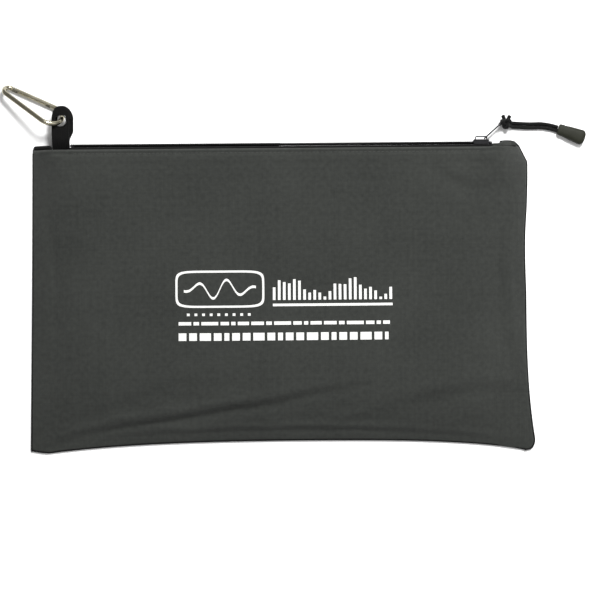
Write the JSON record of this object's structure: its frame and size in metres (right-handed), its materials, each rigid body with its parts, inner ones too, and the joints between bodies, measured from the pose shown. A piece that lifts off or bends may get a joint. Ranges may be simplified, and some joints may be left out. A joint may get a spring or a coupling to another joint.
{
  "type": "zipped tool pouch",
  "caption": "Flat woven zip pouch for small electrical test tools, with a webbing tab, eyelet and spring-gate carabiner at one end of the zip and a wire-and-cord zip pull at the other",
  "frame": {"origin": "middle of the flat face of the back panel that the pouch lies on, at z = 0", "axes": "+X along the zip towards its closed end, +Y from the bottom seam to the zip, +Z out of the front panel, up from the surface"},
  "size_m": [0.4203, 0.2666, 0.0177],
  "materials": {
    "pouch_cloth": "coarse plain-woven polyester, dark grey",
    "zip_tape": "fine woven black tape",
    "zip_coil": "black nylon coil",
    "webbing": "ribbed black nylon webbing",
    "thread": "polyester sewing thread",
    "slider_metal": "black coated zinc",
    "pull_wire": "dark steel wire",
    "cord_nylon": "braided black cord",
    "grip_rubber": "moulded dark grey-green rubber",
    "eyelet_metal": "nickel-plated",
    "carabiner_metal": "bright rolled rod",
    "steel_pin": "turned steel"
  },
  "bodies": {
    "pouch": {"back_panel": "pouch_cloth", "bottom_seam": "zip_tape", "back_tape": "zip_tape", "back_tape_edge": "zip_tape", "back_coil": "zip_coil", "bottom_stop": "slider_metal", "back_top_stop": "slider_metal", "zip_end_fold": "pouch_cloth", "tab_webbing": "webbing", "bar_tack": "thread", "eyelet_barrel": "eyelet_metal", "eyelet_washer": "eyelet_metal"},
    "front_side": {"front_panel": "pouch_cloth", "front_tape": "zip_tape", "front_tape_edge": "zip_tape", "front_coil": "zip_coil", "front_top_stop": "slider_metal", "front_topstitch": "thread", "zip_close_fold": "pouch_cloth"},
    "slider": {"slider_body": "slider_metal", "slider_bridge": "slider_metal"},
    "pull": {"pull_loop": "pull_wire"},
    "pull_cord": {"cord_knot": "cord_nylon", "cord_tail_left": "cord_nylon", "cord_tail_right": "cord_nylon", "cord_strand_upper": "cord_nylon", "cord_strand_lower": "cord_nylon", "cord_grip": "grip_rubber"},
    "carabiner": {"carabiner_frame": "carabiner_metal", "gate_rivet": "steel_pin"},
    "gate": {"gate_barrel": "carabiner_metal", "latch_pin": "steel_pin", "gate_plunger": "steel_pin", "gate_spring": "steel_pin"}
  },
  "joints": [
    {"name": "slider_travel", "type": "slide", "parent": "pouch", "child": "slider", "axis": [1, 0, 0], "range_m": [-0.284, 0], "deforming": ["back_coil", "front_coil"]},
    {"name": "mouth_open", "type": "hinge", "parent": "pouch", "child": "front_side", "pos_m": [0, -0.107, 0.0015], "axis": [1, 0, 0], "range_deg": [0, 9.1]},
    {"name": "pull_swing", "type": "hinge", "parent": "slider", "child": "pull", "pos_m": [0.1481, 0.11105, 0.0066], "axis": [0, 0, 1], "range_deg": [0, 60]},
    {"name": "cord_swing", "type": "hinge", "parent": "pull", "child": "pull_cord", "pos_m": [0.15999, 0.12176, 0.0066], "axis": [0, 0, 1], "range_deg": [0, 35]},
    {"name": "carabiner_swing", "type": "hinge", "parent": "pouch", "child": "carabiner", "pos_m": [-0.1562, 0.1256, 0.00999], "axis": [0, 0, 1], "range_deg": [-85, 25]},
    {"name": "gate_open", "type": "hinge", "parent": "carabiner", "child": "gate", "pos_m": [-0.18955, 0.14877, 0.00185], "axis": [-0.3067, -0.6766, -0.6695], "range_deg": [0, 20], "stiffness_Nm_per_rad": 0.04, "springref_deg": -17.19}
  ],
  "couplings": [
    {"joint": "mouth_open", "follows": "slider_travel", "rad_per_m": -0.5531}
  ]
}
